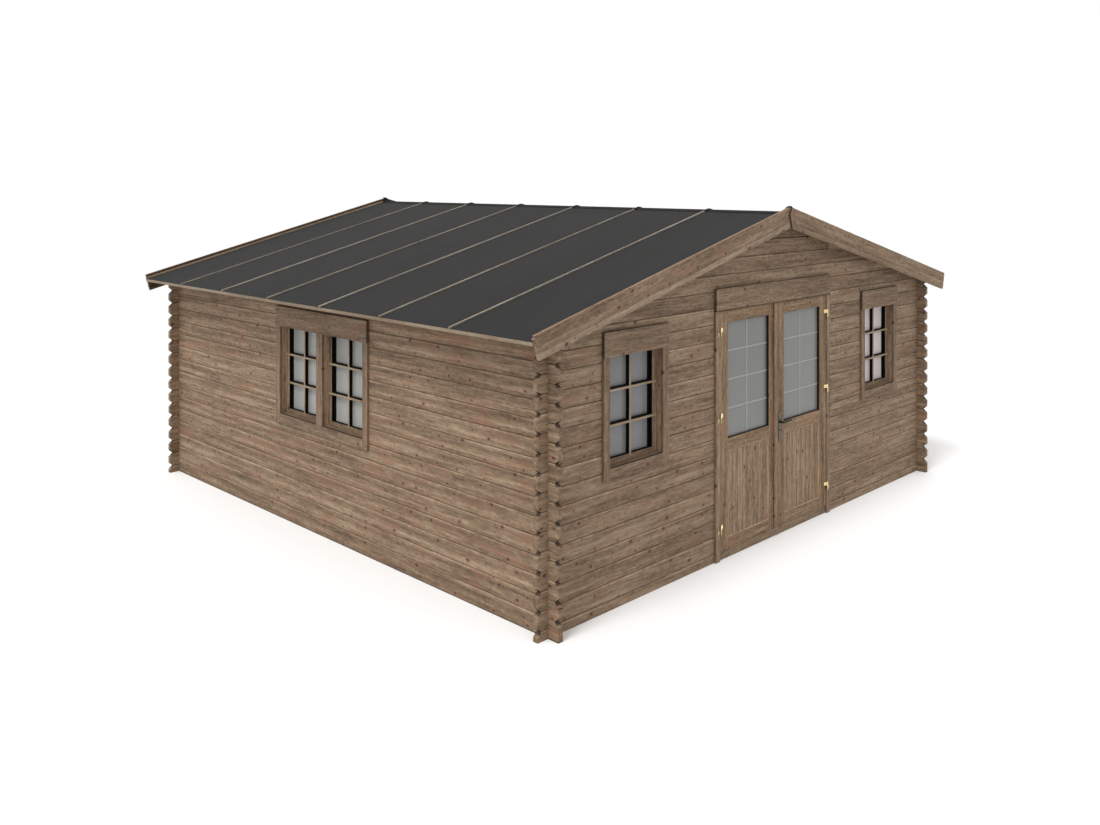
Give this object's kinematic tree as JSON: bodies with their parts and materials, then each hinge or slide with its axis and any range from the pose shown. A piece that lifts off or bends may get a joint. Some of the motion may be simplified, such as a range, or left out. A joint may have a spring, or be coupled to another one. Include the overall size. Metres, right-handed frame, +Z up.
{
  "type": "log cabin",
  "caption": "Square log cabin with notched log corners, a shallow felt gable roof, glazed double doors that swing out, and barred windows in front and side.",
  "frame": {"origin": "on the ground at the middle of the footprint", "axes": "+X to the right seen from the door front, +Y towards the back, +Z up"},
  "size_m": [6.2818, 6.0606, 2.9174],
  "materials": {
    "log_wood": "weathered, impregnated",
    "inner_wood": "planed",
    "trim_wood": "planed, weathered",
    "door_wood": "planed, weathered",
    "roof_felt": "mineral felt",
    "window_glass": "clear",
    "door_glass": "clear",
    "hinge_brass": "polished",
    "handle_metal": "satin dark grey"
  },
  "bodies": {
    "cabin": {"front_bottom_log": "log_wood", "front_wall_left": "log_wood", "front_wall_right": "log_wood", "front_gable": "log_wood", "back_wall": "log_wood", "back_gable": "log_wood", "left_wall": "log_wood", "right_wall": "log_wood", "ridge_purlin": "inner_wood", "side_purlins": "inner_wood", "left_roof_boards": "inner_wood", "right_roof_boards": "inner_wood", "left_felt": "roof_felt", "right_felt": "roof_felt", "left_felt_battens": "trim_wood", "right_felt_battens": "trim_wood", "eave_laths": "trim_wood", "front_bargeboards": "trim_wood", "back_bargeboards": "trim_wood", "apex_plates": "trim_wood", "floor_bearers": "inner_wood", "floor_boards": "inner_wood", "door_jambs": "trim_wood", "door_head": "trim_wood", "door_threshold": "trim_wood", "door_trim": "trim_wood", "hinge_pins": "hinge_brass", "front_left_window_frame": "trim_wood", "front_left_window_sash": "trim_wood", "front_left_window_glass": "window_glass", "front_left_window_trim": "trim_wood", "front_right_window_frame": "trim_wood", "front_right_window_sash": "trim_wood", "front_right_window_glass": "window_glass", "front_right_window_trim": "trim_wood", "side_window_frame": "trim_wood", "side_window_sashes": "trim_wood", "side_window_glass": "window_glass", "side_window_trim": "trim_wood"},
    "left_leaf": {"left_leaf_frame": "door_wood", "left_leaf_panel": "door_wood", "left_leaf_glass": "door_glass", "left_leaf_hinges": "hinge_brass"},
    "right_leaf": {"right_leaf_frame": "door_wood", "right_leaf_panel": "door_wood", "right_leaf_glass": "door_glass", "right_leaf_hinges": "hinge_brass", "handle_plates": "handle_metal"},
    "lever": {"door_lever": "handle_metal"}
  },
  "joints": [
    {"name": "left_door_hinge", "type": "hinge", "parent": "cabin", "child": "left_leaf", "pos_m": [-0.856, -2.879, 1], "axis": [0, 0, -1], "range_deg": [0, 110]},
    {"name": "right_door_hinge", "type": "hinge", "parent": "cabin", "child": "right_leaf", "pos_m": [0.856, -2.879, 1], "axis": [0, 0, 1], "range_deg": [0, 110]},
    {"name": "lever_turn", "type": "hinge", "parent": "right_leaf", "child": "lever", "pos_m": [0.05, -2.85, 1.003], "axis": [0, 1, 0], "range_deg": [0, 40], "stiffness_Nm_per_rad": 1, "springref_deg": -34.38}
  ]
}
